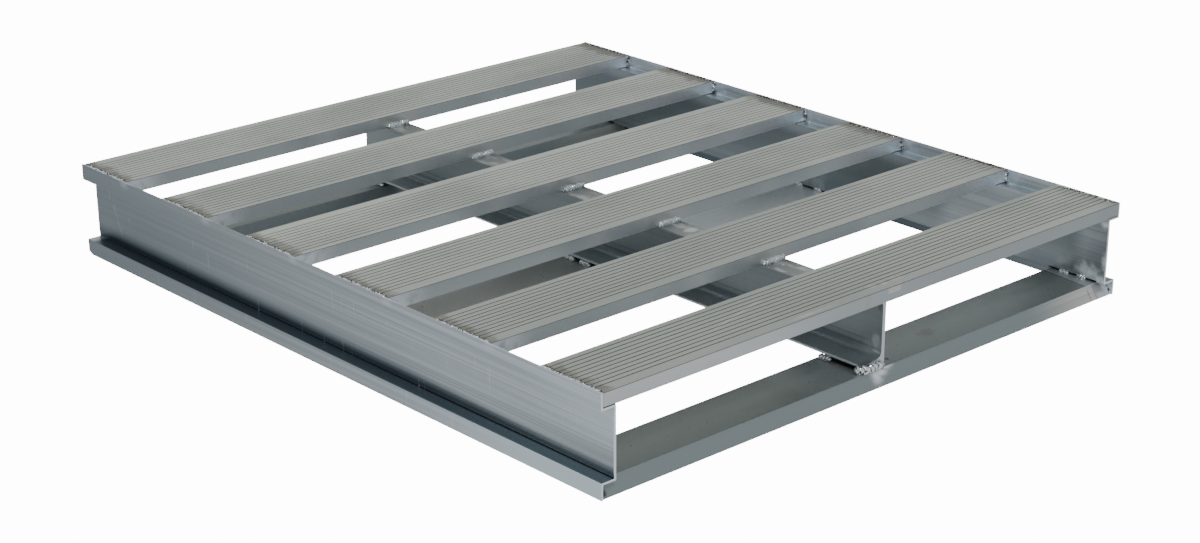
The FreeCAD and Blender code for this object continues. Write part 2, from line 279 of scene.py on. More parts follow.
from_weld = nearest(tree, y, corner_weld_places)
outside = band(tree, side_x, 0.5325, 0.5333)
web_top_light = multiply(tree, on_web, band(tree, z, 0.104, 0.124), band(tree, from_weld, 0.070, 0.010),
                         maths(tree, "ADD", 0.32, maths(tree, "MULTIPLY", band(tree, y, 0.0, -0.40), 0.35)))
halo = multiply(tree, band(tree, from_weld, 0.044, 0.002), band(tree, z, 0.120, 0.129),
                band(tree, side_x, 0.5085, 0.5110), band(tree, cloud, 0.25, 0.62),
                without(tree, outside), 0.8)
outer_halo = multiply(tree, band(tree, from_weld, 0.016, 0.002), band(tree, z, 0.136, 0.148), outside, 0.25)
from_tack = nearest(tree, y, web_tack_places)
tack_halo = multiply(tree, band(tree, from_tack, 0.024, 0.006), band(tree, z, 0.060, 0.026), on_web,
                     band(tree, cloud, 0.36, 0.60), 0.35)
# Painted light: the webs' inner faces whitened in ragged patches at the near end, and made less metallic
# there.
painted_end_flare = multiply(tree, on_web,
                     blots(tree, place, end_flare_spots, flare_cloud, ragged=1.2, core=-0.15))
end_shine = multiply(tree, inward, band(tree, end_y, 0.590, 0.598), band(tree, side_x, 0.5285, 0.5300),
                     band(tree, z, 0.026, 0.022))
end_scratches = multiply(tree, on_web, band(tree, end_y, 0.586, 0.594), band(tree, z, 0.086, 0.090),
                         band(tree, z, 0.108, 0.102), band(tree, scratch_lines, 0.56, 0.64), 0.85)
stray_scratches = multiply(tree, band(tree, outward, 0.1, 0.5), band(tree, scratch_lines, 0.68, 0.74), 0.35)
long_scratch = maths(tree, "SUBTRACT", y, maths(tree, "MULTIPLY", z, 0.408))
long_scratch = multiply(tree, near(tree, long_scratch, 0.5231, 0.0005, 0.0009), band(tree, z, 0.036, 0.042),
                        band(tree, z, 0.092, 0.086), band(tree, x, -0.50, -0.51), 0.14)
# Painted shade: the inner foot near-black between the bottom boards.
board_gap_shade = multiply(tree, inward, band(tree, z, 0.0246, 0.0240),
                     band(tree, nearest(tree, y, bottom_board_middles), 0.0470, 0.0455))
cut_end = band(tree, end_y, stringer_cut_end_y, stringer_cut_end_y + 0.0001)

colour = layered(tree, stringer_colour, [
    (band(tree, die_lines, 0.40, 0.62), stringer_line_colour),
    (multiply(tree, band(tree, broad_lines, 0.45, 0.65), 0.26), stringer_film_and_shade_colour),
    (far_left_shade, stringer_film_and_shade_colour),
    (near_lip_light, stringer_near_end_colour),
    (near_web_light, stringer_near_end_colour),
    (stringer_foot_shade, stringer_foot_shade_colour),
    (ledge_root_shade, stringer_root_shade_colour),
    (far_ledge_light, weld_halo_and_light_colour),
    (web_shade, stringer_inner_colour),
    (low_web_shade, stringer_foot_shade_colour),
    (far_web_shade, stringer_foot_shade_colour),
    (web_top_light, stringer_colour),
    (maths(tree, "ADD", halo, outer_halo), weld_halo_and_light_colour),
    (tack_halo, weld_halo_and_light_colour),
    (painted_end_flare, flare_light_colour),
    (end_shine, weld_halo_and_light_colour),
    (end_scratches, stringer_scratch_colour),
    (stray_scratches, stringer_scratch_colour),
    (long_scratch, stringer_scratch_colour),
    (board_gap_shade, gap_shade_colour),
    (cut_end, stringer_cut_colour)])
tree.links.new(colour, shader.inputs["Base Color"])
gloss = add(tree, "ShaderNodeMapRange", {0: broad_tone, 1: 0.3, 2: 0.7, 3: 0.30, 4: 0.44}).outputs[0]
gloss = maths(tree, "MAXIMUM", gloss, maths(tree, "MULTIPLY", cut_end, 0.6))
tree.links.new(gloss, shader.inputs["Roughness"])
diffuse_share = maths(tree, "MAXIMUM", maths(tree, "MULTIPLY", painted_end_flare, 0.55),
               maths(tree, "MULTIPLY", cut_end, 0.65))
tree.links.new(without(tree, diffuse_share), shader.inputs["Metallic"])
bump(tree, shader, die_lines, 0.03, 0.5)
for name in ("left_stringer", "right_stringer"):
    fill_slots(name, stringer_finish)

# Middle stringer: a rolled aluminium channel, its web upright and its flanges to the left.
# It has been handled and stacked, so its skin is darker than the extrusions', with two long draw marks.
channel_colour = "#899295"
channel_light_colour = "#dde3e5"
channel_dark_colour = "#5f696e"
channel_flange_colour = "#8c918f"
channel_wiped_colour = "#d9dee0"
channel_scale_colour = "#5d5548"
channel_cut_colour = "#d3dbe2"
channel_front_y = -0.5916
channel_top_z = 0.1288
end_wipe_spots = [((15.5, -581, 57), (8, 11, 18)), ((15.5, -581, 43), (8, 12, 3))]

channel_finish, tree, shader, place = start_material("mill_finish_rolled_channel")
y, z = axes_of(tree, place)[1:]
draw_lines = noise(tree, place, (250.0, 0.8, 250.0), 3.0, 5.0)
smudges = noise(tree, place, (40.0, 20.0, 40.0), 3.0, 8.0)
end_light = multiply(tree, band(tree, z, 0.066, 0.048), band(tree, y, -0.550, -0.572), 0.25)
foot_shade = multiply(tree, band(tree, z, 0.0450, 0.0415), 0.40)
low_shade = multiply(tree, band(tree, z, 0.056, 0.044), band(tree, y, -0.550, -0.530), 0.5)
root_light = multiply(tree, band(tree, z, 0.0395, 0.0365), 0.75)
draw_marks = maths(tree, "ADD", near(tree, z, 0.0470, 0.0010, 0.0014),
                   near(tree, z, 0.0560, 0.0006, 0.0010))
draw_marks = multiply(tree, draw_marks, band(tree, y, -0.580, -0.545), 0.55)
on_top = band(tree, z, channel_top_z - 0.0006, channel_top_z)
rubbed_top = multiply(tree, on_top, band(tree, smudges, 0.50, 0.66), 0.5)
white_patch = multiply(tree, on_top, blot(tree, place, (6, -216, 129), (16, 13, 10), smudges), 0.7)
end_wipes = blots(tree, place, end_wipe_spots, smudges, ragged=1.2)
brown_spot = blot(tree, place, (15.5, -586, 112), (8, 6, 9), smudges)
scale = multiply(tree, band(tree, y, channel_front_y + 0.016, channel_front_y),
                 band(tree, z, 0.038, 0.030), 0.7)
cut_end = band(tree, y, channel_front_y + 0.0002, channel_front_y)
# Painted shade: the downward faces low on the channel near-black.
channel_underside_shade = multiply(tree, band(tree, facing_of(tree)[2], -0.4, -0.8),
                     band(tree, z, 0.040, 0.034), 0.9)

colour = layered(tree, channel_colour, [
    (low_shade, channel_dark_colour),
    (end_light, channel_light_colour),
    (foot_shade, channel_dark_colour),
    (root_light, channel_light_colour),
    (multiply(tree, band(tree, draw_lines, 0.40, 0.75), 0.13), channel_dark_colour),
    (draw_marks, channel_dark_colour),
    (on_top, channel_flange_colour),
    (rubbed_top, channel_wiped_colour),
    (white_patch, channel_wiped_colour),
    (multiply(tree, end_wipes, 0.5), channel_wiped_colour),
    (multiply(tree, brown_spot, 0.5), channel_scale_colour),
    (scale, channel_scale_colour),
    (channel_underside_shade, gap_shade_colour),
    (cut_end, channel_cut_colour)])
tree.links.new(colour, shader.inputs["Base Color"])
shader.inputs["Roughness"].default_value = 0.45
bump(tree, shader, draw_lines, 0.02, 0.06)
fill_slots("middle_stringer", channel_finish)

# Deck boards: six grooved aluminium extrusions, each welded to the stringers' lips at both ends.
# Loads and weather have dulled their tops to a warmer grey than the sides, and painted reflection adds to
# the difference. Painted light and shade vary the tops and front faces, painted shade darkens the grooves,
# and weld smoke browns the ends.
deck_top_z = 0.1495
deck_top_colour = "#a9aea7"
deck_top_lit_colour = "#c6cac1"
deck_top_dark_colour = "#a2a8a2"
deck_groove_shade_colour = "#585d5c"
deck_side_colour = "#bcc5c8"
deck_side_dark_and_shade_colour = "#9aa3a7"
deck_side_lit_colour = "#fbfdff"
deck_smoke_colour = "#7b786f"
deck_scale_colour = "#b3aea3"
deck_smear_and_glint_colour = "#d9d6cf"
top_smudge_spots = [((-9, -590, 149), (14, 7, 9)), ((13, -592, 149), (12, 8, 9)),
                    ((40, -591, 149), (18, 7, 9)), ((-150, -602, 149), (50, 4, 9))]

deck_finish, tree, shader, place = start_material("mill_finish_extrusion_deck")
x, y, z = axes_of(tree, place)
side_x = maths(tree, "ABSOLUTE", x)
facing = facing_of(tree)
die_lines = noise(tree, place, (1.2, 600.0, 600.0), 3.0, 2.0)
patches = noise(tree, place, (4.0, 9.0, 9.0), 3.0, 4.0)
smoke_cloud = noise(tree, place, (60.0, 60.0, 60.0), 3.0, 12.0)
streak_lines = noise(tree, place, (9.0, 420.0, 0.0), 2.0, 15.0)

is_top = band(tree, facing[2], 0.85, 0.95)
is_side = without(tree, is_top)
# Painted light: the tops lighter towards the right and the far end.
lighter = maths(tree, "MAXIMUM", multiply(tree, band(tree, x, -0.15, 0.50), 0.75),
                band(tree, y, -0.30, 0.12))
# Painted shade in the grooves and along their upper edges.
groove_shade = multiply(tree, band(tree, z, deck_top_z - 0.0001, deck_top_z - 0.0004),
                        band(tree, z, deck_top_z - 0.0020, deck_top_z - 0.0012),
                        band(tree, facing[2], 0.2, 0.4))
groove_edge_shade = multiply(tree, band(tree, z, deck_top_z - 0.0013, deck_top_z - 0.0009),
                      band(tree, facing[2], 0.1, 0.3), band(tree, facing[2], 0.93, 0.80), 0.70)
# Painted shadow: a dark line along the boards' bottom edges where they sit on the stringers.
seat_gap_shadow = multiply(tree, band(tree, z, 0.1300, 0.1296), band(tree, side_x, 0.5075, 0.5090), 0.95)
uneven_reach = maths(tree, "MULTIPLY", maths(tree, "SUBTRACT", smoke_cloud, 0.5), 0.040)
right_reach = maths(tree, "MULTIPLY", band(tree, x, 0.4, 0.5), 0.010)
smoke_reach = maths(tree, "ADD", maths(tree, "ADD", side_x, uneven_reach), right_reach)
smokier = maths(tree, "MAXIMUM", band(tree, x, 0.1, -0.1), band(tree, y, -0.30, -0.05))
smoke = multiply(tree, band(tree, smoke_reach, 0.502, 0.526), is_top,
                 maths(tree, "ADD", 0.26, maths(tree, "MULTIPLY", smokier, 0.60)))
front_face = band(tree, facing[1], -0.5, -0.9)
top_smudges = multiply(tree, is_top,
                       blots(tree, place, top_smudge_spots, smoke_cloud, ragged=1.2, core=0.2), 0.45)
face_halo = multiply(tree, front_face, band(tree, side_x, 0.445, 0.518), band(tree, smoke_cloud, 0.20, 0.55),
                     band(tree, y, -0.600, -0.590), 0.95)
face_scale = multiply(tree, front_face, band(tree, side_x, 0.050, 0.028),
                      band(tree, y, -0.600, -0.590), 0.3)
first_face = multiply(tree, front_face, band(tree, y, -0.600, -0.605))
wiped_patch = multiply(tree, first_face, near(tree, x, 0.017, 0.010, 0.006),
                       near(tree, z, 0.1440, 0.003, 0.002), 0.6)
dull_patch = multiply(tree, first_face, near(tree, x, -0.036, 0.002, 0.006), 0.35)
# Painted shade at the right end of the first board's front face.
right_end_shade = multiply(tree, first_face, band(tree, x, 0.46, 0.52), 0.4)
# Painted highlight: bright streaks along the grooves on the fifth board's top.
streaks = multiply(tree, is_top, near(tree, y, 0.290, 0.005, 0.004), near(tree, x, 0.22, 0.12, 0.05),
                   band(tree, streak_lines, 0.50, 0.62), 0.6)
slanted_y = maths(tree, "SUBTRACT", y, maths(tree, "MULTIPLY", x, 0.27))
front_streaks = multiply(tree, is_top, near(tree, slanted_y, -0.478, 0.0008, 0.0020),
                         near(tree, x, -0.22, 0.05, 0.02), 0.35)

top_colour = layered(tree, deck_top_colour, [
    (lighter, deck_top_lit_colour),
    (multiply(tree, band(tree, patches, 0.40, 0.68), 0.6), deck_top_dark_colour),
    (multiply(tree, band(tree, die_lines, 0.45, 0.65), 0.35), deck_top_dark_colour)])
later_face = multiply(tree, front_face, band(tree, y, -0.600, -0.590))
# Painted light and shade: the front faces lighter and darker in bands across their width.
side_colour = layered(tree, deck_side_colour, [
    (multiply(tree, first_face, band(tree, x, -0.20, 0.20), 0.7), deck_side_dark_and_shade_colour),
    (multiply(tree, first_face, band(tree, x, -0.10, -0.30), 0.25), deck_side_lit_colour),
    (multiply(tree, later_face, near(tree, x, -0.095, 0.040, 0.060), 0.6), deck_side_lit_colour),
    (multiply(tree, later_face, band(tree, x, 0.24, 0.42)), deck_side_lit_colour),
    (multiply(tree, later_face, near(tree, x, 0.110, 0.050, 0.070), 0.55), deck_side_dark_and_shade_colour),
    (multiply(tree, later_face, band(tree, x, -0.20, -0.38), 0.45), deck_side_dark_and_shade_colour),
    (multiply(tree, band(tree, patches, 0.45, 0.70), 0.2), deck_side_dark_and_shade_colour)])
colour = layered(tree, side_colour, [
    (is_top, top_colour),
    (smoke, deck_smoke_colour),
    (seat_gap_shadow, gap_shade_colour),
    (streaks, deck_smear_and_glint_colour),
    (front_streaks, deck_smear_and_glint_colour),
    (top_smudges, deck_smear_and_glint_colour),
    (face_halo, weld_halo_and_light_colour),
    (face_scale, deck_scale_colour),
    (wiped_patch, deck_smear_and_glint_colour),
    (dull_patch, deck_scale_colour),
    (right_end_shade, deck_side_dark_and_shade_colour),
    (groove_shade, deck_groove_shade_colour),
    (groove_edge_shade, deck_groove_shade_colour)])
tree.links.new(colour, shader.inputs["Base Color"])
top_gloss = add(tree, "ShaderNodeMapRange", {0: patches, 1: 0.3, 2: 0.7, 3: 0.47, 4: 0.53}).outputs[0]
side_gloss = maths(tree, "MULTIPLY", is_side, -0.12)
tree.links.new(maths(tree, "ADD", top_gloss, side_gloss), shader.inputs["Roughness"])
bump(tree, shader, die_lines, 0.02, 0.4)
for number in range(1, 7):
    fill_slots("deck_board_%d" % number, deck_finish)

# Bottom boards: three plain-topped aluminium extrusions with sloped sides, tacked under the side webs.
# They have a film of dust on top and a bright weld smear on the front slope by the channel. Painted light
# brightens them beside the channel and the right web and on the middle board, and painted shade darkens
# them under the channel and at the right end of the front slope.
bottom_top_colour = "#8d9591"
bottom_right_colour = "#9ea5a4"
bottom_dull_colour = "#858883"
bottom_stain_colour = "#75705f"
bottom_lit_colour = "#c4cacb"
bottom_slope_colour = "#909a9d"
bottom_warm_slope_colour = "#d6d6d1"
bottom_warm_edge_colour = "#d3cecb"
bottom_highlight_colour = "#e3e9ed"
bottom_speck_colour = "#33322e"
bottom_middle_lit_colour = "#bcbfba"
bottom_middle_far_lit_colour = "#f2f6f6"
bottom_end_shade_colour = "#a6acb0"
bottom_smear_and_glare_colour = "#f4f9fe"
bottom_smudge_colour = "#24221f"
front_board_y = -0.45
end_glare_spots = [((523, -600, 14), (11, 60, 11)), ((527, -600, 7), (8, 60, 10))]
nose_smear_spots = [((0, -600, 14), (17, 60, 16)), ((11, -600, 17), (20, 60, 10)),
                    ((26, -600, 20), (20, 60, 6))]

bottom_finish, tree, shader, place = start_material("mill_finish_extrusion_bottom")
x, y, z = axes_of(tree, place)
facing = facing_of(tree)
die_lines = noise(tree, place, (1.0, 350.0, 350.0), 3.0, 6.0)
patches = noise(tree, place, (5.0, 16.0, 16.0), 3.0, 9.0)
specks = noise(tree, place, (210.0, 210.0, 210.0), 0.0, 4.0)
cloud = noise(tree, place, (90.0, 90.0, 90.0), 3.0, 3.0)

is_top = band(tree, facing[2], 0.90, 0.98)
on_front_board = band(tree, y, front_board_y, front_board_y - 0.002)
front_slope = multiply(tree, on_front_board, band(tree, facing[1], -0.4, -0.7))
on_middle_board = multiply(tree, band(tree, y, -0.20, -0.19), band(tree, y, 0.20, 0.19))
# Painted light: the front board's top lightened beside the channel and along the right web's foot.
by_channel_light = multiply(tree, on_front_board, band(tree, x, -0.160, -0.085),
                      band(tree, x, 0.0, -0.020), 0.5)
crease_line = maths(tree, "SUBTRACT", x, maths(tree, "MULTIPLY", y, 0.1))
by_web_light = multiply(tree, on_front_board, band(tree, crease_line, 0.5428, 0.5440), 0.45)
crease = multiply(tree, on_front_board, near(tree, crease_line, 0.5424, 0.0004, 0.0009), 0.7)
stain = blot(tree, place, (160, -549, 21), (22, 16, 8), cloud, 1.5)
dark_spot = blot(tree, place, (45, -577, 21), (4.5, 4.5, 3), cloud, 0.3)
# Painted shade: the front board's top near-black under the channel.
under_channel_shade = multiply(tree, band(tree, x, -0.0240, -0.0150), band(tree, x, 0.0200, 0.0120),
                         band(tree, y, -0.5840, -0.5760), 0.9)
top_colour = layered(tree, bottom_top_colour, [
    # The tops a lighter grey towards the right.
    (band(tree, x, -0.35, 0.35), bottom_right_colour),
    (multiply(tree, band(tree, patches, 0.42, 0.70), 0.4), bottom_dull_colour),
    # Painted light: the middle board's top lightened, most on its right.
    (multiply(tree, on_middle_board, 0.95), bottom_middle_lit_colour),
    (multiply(tree, on_middle_board, band(tree, x, -0.05, 0.30)), bottom_middle_far_lit_colour),
    (by_channel_light, bottom_lit_colour),
    (multiply(tree, stain, 0.35), bottom_stain_colour),
    (multiply(tree, band(tree, specks, 0.80, 0.84), 0.7), bottom_speck_colour),
    (by_web_light, bottom_highlight_colour),
    (crease, bottom_speck_colour),
    (multiply(tree, dark_spot, 0.8), bottom_speck_colour),
    (under_channel_shade, gap_shade_colour)])

# A thin broken dark line down the front slope near its right end.
slope_dark_line = multiply(tree, near(tree, x, 0.4838, 0.0005, 0.0010), band(tree, cloud, 0.35, 0.50), 0.5)
warm_edge = multiply(tree, near(tree, x, 0.4895, 0.0045, 0.0012), band(tree, cloud, 0.30, 0.60), 0.5)
# Painted shade: the front slope darker at its right end, under the ledge; painted light low at the very end.
end_shade = multiply(tree, band(tree, x, 0.4955, 0.4965), 0.8)
end_light = multiply(tree, band(tree, x, 0.4955, 0.5050), band(tree, z, 0.010, 0.005), 0.6)
brushed = noise(tree, place, (55.0, 260.0, 260.0), 4.0, 23.0)
# Painted highlight: a bright glare at the right end of the front slope.
end_glare = blots(tree, place, end_glare_spots, brushed, ragged=0.5, core=0.0)
nose_smear = blots(tree, place, nose_smear_spots, brushed, core=-0.1)
end_smudge = blot(tree, place, (-526, -600, 7), (8, 60, 9), cloud, 1.2)
side_colour = layered(tree, bottom_slope_colour, [
    (band(tree, x, 0.32, 0.50), bottom_warm_slope_colour),
    (multiply(tree, band(tree, die_lines, 0.45, 0.70), 0.3), bottom_top_colour),
    (multiply(tree, front_slope, nose_smear), bottom_smear_and_glare_colour),
    (multiply(tree, front_slope, slope_dark_line), bottom_speck_colour),
    (multiply(tree, front_slope, warm_edge), bottom_warm_edge_colour),
    (multiply(tree, front_slope, end_shade), bottom_end_shade_colour),
    (multiply(tree, front_slope, end_light), bottom_highlight_colour),
    (multiply(tree, front_slope, end_glare), bottom_smear_and_glare_colour),
    (multiply(tree, front_slope, end_smudge, 0.85), bottom_smudge_colour)])
colour = blend_colour(tree, is_top, side_colour, top_colour)
tree.links.new(colour, shader.inputs["Base Color"])
shader.inputs["Roughness"].default_value = 0.48
shader.inputs["Metallic"].default_value = 0.8
bump(tree, shader, die_lines, 0.02, 0.4)
for place_name in ("front", "middle", "rear"):
    fill_slots("bottom_board_" + place_name, bottom_finish)

# Weld metal: aluminium beads laid by hand with a wire-fed gun, a row of frozen ripples each.
# Clean metal is bright, soot from the arc settles over the side towards the board, and soot and painted
# shade darken the ripples' creases.
weld_bright_colour = "#f3f8fc"
weld_grey_colour = "#b4b8ba"
weld_soot_and_shade_colour = "#5c574d"
weld_pit_and_shade_colour = "#191816"


def weld_material(name, soot_share, outer_clean_and_glint=0.0):
    """As-welded aluminium: how much soot covers, and how much cleaner it is far out, with painted glints
    there.
    """
    material, tree, shader, place = start_material(name)
    x, y = axes_of(tree, place)[:2]
    side_x = maths(tree, "ABSOLUTE", x)
    cloud = noise(tree, place, (230.0, 230.0, 230.0), 4.0, 1.0)
    fine = noise(tree, place, (900.0, 900.0, 900.0), 2.0, 2.0)
    crease = add(tree, "ShaderNodeAttribute", attribute_name="crease").outputs["Fac"]
    level = 0.70 - 0.36 * soot_share
    cleaner = maths(tree, "MULTIPLY", band(tree, side_x, 0.5290, 0.5312), outer_clean_and_glint)
    soot = band(tree, maths(tree, "SUBTRACT", cloud, cleaner), level - 0.05, level + 0.08)
    glints = band(tree, noise(tree, place, (620.0, 620.0, 620.0), 1.0, 31.0), 0.60, 0.64)
    # Painted highlight: bright strokes along the beads' outer edges, set a little further in at the first
    # board's right end.
    first_right = multiply(tree, band(tree, y, -0.470, -0.490), band(tree, x, 0.0, 0.1))
    dash_x = maths(tree, "ADD", side_x, maths(tree, "MULTIPLY", first_right, 0.0035))
    dash_lines = noise(tree, place, (0.0, 190.0, 0.0), 1.0, 37.0)
    dashes = multiply(tree, band(tree, dash_lines, 0.50, 0.56), band(tree, dash_x, 0.5285, 0.5305),
                      4.0 * outer_clean_and_glint)
    crest = multiply(tree, band(tree, crease, 0.30, 0.08), without(tree, soot))
    colour = layered(tree, weld_bright_colour, [
        (multiply(tree, band(tree, fine, 0.42, 0.66), 0.7), weld_grey_colour),
        (soot, weld_soot_and_shade_colour),
        # The ripples' creases darkened, partly soot and partly painted shade.
        (multiply(tree, band(tree, crease, 0.42, 0.72), 0.9), weld_soot_and_shade_colour),
        (multiply(tree, band(tree, crease, 0.66, 0.90), 0.9), weld_pit_and_shade_colour),
        (multiply(tree, soot, band(tree, fine, 0.50, 0.64)), weld_pit_and_shade_colour),
        (glints, weld_bright_colour),
        (dashes, weld_bright_colour)])
    tree.links.new(colour, shader.inputs["Base Color"])
    dull = multiply(tree, soot, without(tree, glints))
    tree.links.new(add(tree, "ShaderNodeMapRange", {0: dull, 3: 0.12, 4: 0.60}).outputs[0],
                   shader.inputs["Roughness"])
    diffuse_share = maths(tree, "MAXIMUM", maths(tree, "MULTIPLY", dashes, 0.6),
                   maths(tree, "MULTIPLY", crest, 0.22))
    tree.links.new(without(tree, diffuse_share), shader.inputs["Metallic"])
    bump(tree, shader, fine, 0.10, 0.5)
    return material


clean_weld = weld_material("as_welded_aluminium_clean", soot_share=0.15)
sooty_weld = weld_material("as_welded_aluminium_sooty", soot_share=0.88, outer_clean_and_glint=0.22)
smudged_weld = weld_material("as_welded_aluminium_smudged", soot_share=0.60)


def add_input(tree, name, kind, value=None):
    """Give a node tree a named input, with the value that it has when none is given."""
    socket = tree.interface.new_socket(name, in_out="INPUT", socket_type=kind)
    if value is not None:
        socket.default_value = value


def build_bead_tree():
    """A tube along each curve: ripples across it, uneven edges, and ends that taper to a round."""
    tree = bpy.data.node_groups.new("rippled bead", "GeometryNodeTree")
    tree.interface.new_socket("Geometry", in_out="OUTPUT", socket_type="NodeSocketGeometry")
    add_input(tree, "Path", "NodeSocketGeometry")
    for name, value in (("Half width", 0.004), ("Half height", 0.002), ("Pitch", 0.0025),
                        ("Ripple depth", 0.25), ("Unevenness", 0.2), ("Seed", 0.0), ("Lean", 0.6)):
        add_input(tree, name, "NodeSocketFloat", value)
    add_input(tree, "Material", "NodeSocketMaterial")
    given = tree.nodes.new("NodeGroupInput").outputs
    step = maths(tree, "MULTIPLY", given["Pitch"], 0.12)
    path = add(tree, "GeometryNodeResampleCurve", {"Curve": given["Path"], "Length": step}, mode="LENGTH")
    along = add(tree, "GeometryNodeSplineParameter").outputs["Length"]
    whole = add(tree, "GeometryNodeSplineLength").outputs["Length"]
    centre = add(tree, "GeometryNodeInputPosition").outputs[0]
    tangent = add(tree, "GeometryNodeInputTangent").outputs[0]
    capture = tree.nodes.new("GeometryNodeCaptureAttribute")
    for kind, name in (("FLOAT", "along"), ("FLOAT", "whole"), ("VECTOR", "centre"), ("VECTOR", "tangent")):
        capture.capture_items.new(kind, name)
    tree.links.new(path.outputs[0], capture.inputs[0])
    for index, source in enumerate((along, whole, centre, tangent)):
        tree.links.new(source, capture.inputs[index + 1])
    circle = add(tree, "GeometryNodeCurvePrimitiveCircle", {"Resolution": 16, "Radius": 1.0})
    section_size = add(tree, "ShaderNodeCombineXYZ",
                       {0: given["Half width"], 1: given["Half height"], 2: 1.0})
    section = add(tree, "GeometryNodeTransform",
                  {"Geometry": circle.outputs[0], "Scale": section_size.outputs[0]})
    from_end = maths(tree, "MINIMUM", along, maths(tree, "SUBTRACT", whole, along))
    rounding = add(tree, "ShaderNodeMapRange",
                   {0: from_end, 1: 0.0, 2: given["Half width"], 3: 0.0, 4: 1.0})
    rounding = maths(tree, "SUBTRACT", 1.0, rounding.outputs[0])
    rounding = maths(tree, "SUBTRACT", 1.0, maths(tree, "MULTIPLY", rounding, rounding))
    taper = maths(tree, "MAXIMUM", maths(tree, "SQRT", rounding), 0.05)
    upright = add(tree, "GeometryNodeSetCurveNormal", {"Curve": capture.outputs[0]}, mode="Z_UP")
    tube = add(tree, "GeometryNodeCurveToMesh",
               {"Curve": upright.outputs[0], "Profile Curve": section.outputs[0],
                "Scale": taper, "Fill Caps": True})
    here = add(tree, "GeometryNodeInputPosition").outputs[0]
    away = add(tree, "ShaderNodeVectorMath", {0: here, 1: capture.outputs["centre"]},
               operation="SUBTRACT").outputs[0]
    across = add(tree, "ShaderNodeVectorMath", {0: capture.outputs["tangent"], 1: (0.0, 0.0, 1.0)},
                 operation="CROSS_PRODUCT").outputs[0]
    across = add(tree, "ShaderNodeVectorMath", {0: across}, operation="NORMALIZE").outputs[0]
    lateral = add(tree, "ShaderNodeVectorMath", {0: away, 1: across},
                  operation="DOT_PRODUCT").outputs[1]
    lateral = maths(tree, "DIVIDE", lateral, given["Half width"])
    curl = maths(tree, "MULTIPLY", maths(tree, "MULTIPLY", lateral, lateral), given["Lean"])
    wander = add(tree, "ShaderNodeTexNoise",
                 {"Scale": 160.0, "Detail": 1.0, "W": given["Seed"], "Vector": here},
                 noise_dimensions="4D").outputs[0]
    turns = maths(tree, "DIVIDE", capture.outputs["along"], given["Pitch"])
    turns = maths(tree, "ADD", maths(tree, "SUBTRACT", turns, curl), wander)
    wave = maths(tree, "FRACT", turns)
    wave = maths(tree, "MULTIPLY", maths(tree, "MULTIPLY", wave, wave), given["Ripple depth"])
    lumps = add(tree, "ShaderNodeTexNoise",
                {"Scale": 320.0, "Detail": 2.0, "W": given["Seed"], "Vector": here},
                noise_dimensions="4D").outputs[0]
    lumps = maths(tree, "MULTIPLY", maths(tree, "SUBTRACT", lumps, 0.5), given["Unevenness"])
    swell = maths(tree, "ADD", maths(tree, "SUBTRACT", 1.0, wave), lumps)
    swell = maths(tree, "MINIMUM", swell, 1.0)
    push = maths(tree, "SUBTRACT", swell, 1.0)
    offset = add(tree, "ShaderNodeVectorMath", {0: away, "Scale": push}, operation="SCALE").outputs[0]
    crease = maths(tree, "DIVIDE", wave, given["Ripple depth"])
    marked = add(tree, "GeometryNodeStoreNamedAttribute",
                 {"Geometry": tube.outputs[0], "Name": "crease", "Value": crease},
                 data_type="FLOAT", domain="POINT")
    shaped = add(tree, "GeometryNodeSetPosition", {"Geometry": marked.outputs[0], "Offset": offset})
    smooth = add(tree, "GeometryNodeSetShadeSmooth", {"Geometry": shaped.outputs[0]})
    realized = add(tree, "GeometryNodeRealizeInstances", {0: smooth.outputs[0]})
    painted = add(tree, "GeometryNodeSetMaterial",
                  {"Geometry": realized.outputs[0], "Material": given["Material"]})
    add(tree, "NodeGroupOutput", {0: painted.outputs[0]})
    return tree


bead_tree = build_bead_tree()


def lay_beads(name, paths, replaced, material, width_mm, height_mm, pitch_mm, depth, unevenness, seed):
    """Run the bead tree along paths of points and keep the result as one plain mesh piece."""
    data = bpy.data.curves.new(name + "_path", "CURVE")
    data.dimensions = "3D"
    for points in paths:
        spline = data.splines.new("POLY")
        spline.points.add(len(points) - 1)
        for index, point in enumerate(points):
            spline.points[index].co = (point[0], point[1], point[2], 1.0)
    carrier = bpy.data.objects.new(name + "_path", data)
    scene.collection.objects.link(carrier)
    modifier = carrier.modifiers.new("bead", "NODES")
    modifier.node_group = bead_tree
    values = {"Half width": width_mm / 2000, "Half height": height_mm / 1000, "Pitch": pitch_mm / 1000,
              "Ripple depth": depth, "Unevenness": unevenness, "Seed": seed, "Material": material}
    for item in bead_tree.interface.items_tree:
        if item.in_out == "INPUT" and item.name in values:
            modifier[item.identifier] = values[item.name]
    bpy.context.view_layer.update()
    evaluated = carrier.evaluated_get(bpy.context.evaluated_depsgraph_get())
    mesh = bpy.data.meshes.new_from_object(evaluated)
    bpy.data.objects.remove(carrier)
    mesh.name = name
    piece = bpy.data.objects.new(name, mesh)
    scene.collection.objects.link(piece)
    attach(piece, "root")
    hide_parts(*replaced)


def wobble(start, end, count, amount_mm, source):
    """Points from start to end, each moved a little, as a hand moves the gun."""
    points = []
    for index in range(count + 1):
        share = index / count
        shift = [source.uniform(-amount_mm, amount_mm) / 1000 for axis in range(3)]
        points.append(tuple(a + (b - a) * share + s for a, b, s in zip(start, end, shift)))
    return points


